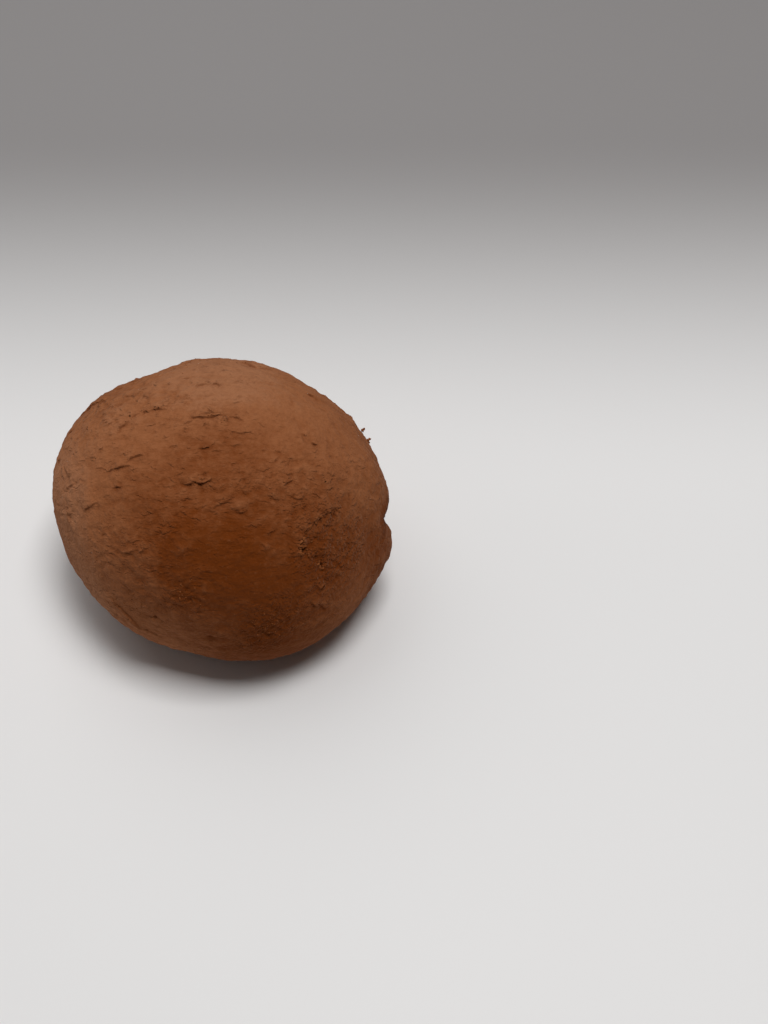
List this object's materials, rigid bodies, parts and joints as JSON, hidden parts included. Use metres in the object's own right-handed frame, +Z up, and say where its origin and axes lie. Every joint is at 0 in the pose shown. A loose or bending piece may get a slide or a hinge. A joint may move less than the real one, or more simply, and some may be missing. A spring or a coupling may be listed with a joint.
{
  "type": "chewy cookie",
  "caption": "Plump round chewy cookie with a cocoa-dusted skin, torn lips, rough scabs and a pinched fold in its side, slumped onto a small flat seat.",
  "frame": {"origin": "on the surface the cookie rests on, at the middle of its length and width", "axes": "+X along the longest way across the cookie, +Y across it, +Z up, the shortest way through"},
  "size_m": [0.054, 0.0486, 0.035],
  "materials": {
    "cocoa_skin": "dry matt brown cocoa powder over soft dough, darker in the cracks"
  },
  "bodies": {
    "root": {"cookie": "cocoa_skin"}
  },
  "joints": []
}
